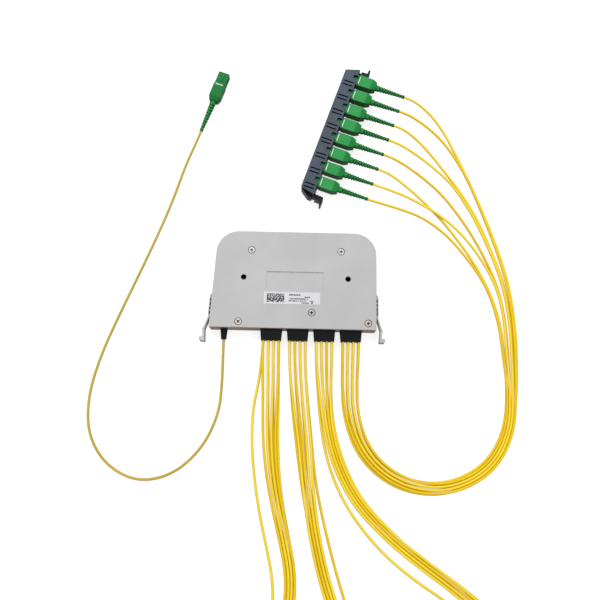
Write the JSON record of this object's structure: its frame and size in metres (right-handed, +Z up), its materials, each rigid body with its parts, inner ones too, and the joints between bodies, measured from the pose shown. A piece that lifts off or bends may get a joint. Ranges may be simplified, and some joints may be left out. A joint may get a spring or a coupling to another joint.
{
  "type": "plc fibre splitter",
  "caption": "Light grey fibre splitter cassette with one input cord and groups of yellow output cords that end in green push-pull plugs held in rows.",
  "frame": {"origin": "centre of the cassette's flat underside", "axes": "+X along the cable face with the input cord at -X, +Y from the cable face towards the rounded rear corners, +Z up out of the cover"},
  "size_m": [0.4098, 0.6573, 0.0132],
  "materials": {
    "case": "satin",
    "screw": "satin",
    "latch": "satin",
    "boot": "matte",
    "label": "matte",
    "chip": "satin",
    "fibre": "satin",
    "plug": "satin",
    "plug_inner": "satin",
    "ferrule": "polished",
    "relief": "matte",
    "holder": "satin",
    "cord": "satin"
  },
  "bodies": {
    "cassette": {"cassette_base": "case", "cassette_cover": "case", "cover_screws": "screw", "input_boot": "boot", "output_boot_1": "boot", "output_boot_2": "boot", "output_boot_3": "boot", "output_boot_4": "boot", "label": "label", "splitter_chip": "chip", "inner_fibres": "fibre", "parked_plugs_1": "plug", "parked_plugs_2": "plug", "parked_plugs_3": "plug", "input_plug_body": "plug_inner", "plug_body_1": "plug_inner", "plug_body_2": "plug_inner", "plug_body_3": "plug_inner", "plug_body_4": "plug_inner", "plug_body_5": "plug_inner", "plug_body_6": "plug_inner", "plug_body_7": "plug_inner", "plug_body_8": "plug_inner", "input_plug_ferrule": "ferrule", "input_plug_boot": "relief", "plug_boot_1": "relief", "plug_boot_2": "relief", "plug_boot_3": "relief", "plug_boot_4": "relief", "plug_boot_5": "relief", "plug_boot_6": "relief", "plug_boot_7": "relief", "plug_boot_8": "relief", "plug_holder_1": "holder", "plug_holder_2": "holder", "plug_holder_3": "holder", "plug_holder_4": "holder", "input_cord": "cord", "output_cord_1": "cord", "output_cord_2": "cord", "output_cord_3": "cord", "output_cord_4": "cord", "output_cord_5": "cord", "output_cord_6": "cord", "output_cord_7": "cord", "output_cord_8": "cord", "cords_1": "cord", "cords_2": "cord", "cords_3": "cord"},
    "left_latch": {"left_latch": "latch"},
    "right_latch": {"right_latch": "latch"},
    "input_plug_grip": {"input_plug_grip": "plug"},
    "plug_grip_1": {"plug_grip_1": "plug"},
    "plug_grip_2": {"plug_grip_2": "plug"},
    "plug_grip_3": {"plug_grip_3": "plug"},
    "plug_grip_4": {"plug_grip_4": "plug"},
    "plug_grip_5": {"plug_grip_5": "plug"},
    "plug_grip_6": {"plug_grip_6": "plug"},
    "plug_grip_7": {"plug_grip_7": "plug"},
    "plug_grip_8": {"plug_grip_8": "plug"}
  },
  "joints": [
    {"name": "left_latch_pivot", "type": "hinge", "parent": "cassette", "child": "left_latch", "pos_m": [-0.06147, -0.01292, 0.0063], "axis": [0, 0, 1], "range_deg": [-7, 5], "stiffness_Nm_per_rad": 0.02},
    {"name": "right_latch_pivot", "type": "hinge", "parent": "cassette", "child": "right_latch", "pos_m": [0.0596, -0.0116, 0.0063], "axis": [0, 0, 1], "range_deg": [-5, 7], "stiffness_Nm_per_rad": 0.02},
    {"name": "input_plug_grip_slide", "type": "slide", "parent": "cassette", "child": "input_plug_grip", "axis": [-0.3178, -0.9482, 0], "range_m": [0, 0.0015]},
    {"name": "plug_grip_1_slide", "type": "slide", "parent": "cassette", "child": "plug_grip_1", "axis": [0.9479, -0.3185, 0], "range_m": [0, 0.0015]},
    {"name": "plug_grip_2_slide", "type": "slide", "parent": "cassette", "child": "plug_grip_2", "axis": [0.9479, -0.3185, 0], "range_m": [0, 0.0015]},
    {"name": "plug_grip_3_slide", "type": "slide", "parent": "cassette", "child": "plug_grip_3", "axis": [0.9479, -0.3185, 0], "range_m": [0, 0.0015]},
    {"name": "plug_grip_4_slide", "type": "slide", "parent": "cassette", "child": "plug_grip_4", "axis": [0.9479, -0.3185, 0], "range_m": [0, 0.0015]},
    {"name": "plug_grip_5_slide", "type": "slide", "parent": "cassette", "child": "plug_grip_5", "axis": [0.9479, -0.3185, 0], "range_m": [0, 0.0015]},
    {"name": "plug_grip_6_slide", "type": "slide", "parent": "cassette", "child": "plug_grip_6", "axis": [0.9479, -0.3185, 0], "range_m": [0, 0.0015]},
    {"name": "plug_grip_7_slide", "type": "slide", "parent": "cassette", "child": "plug_grip_7", "axis": [0.9479, -0.3185, 0], "range_m": [0, 0.0015]},
    {"name": "plug_grip_8_slide", "type": "slide", "parent": "cassette", "child": "plug_grip_8", "axis": [0.9479, -0.3185, 0], "range_m": [0, 0.0015]}
  ]
}
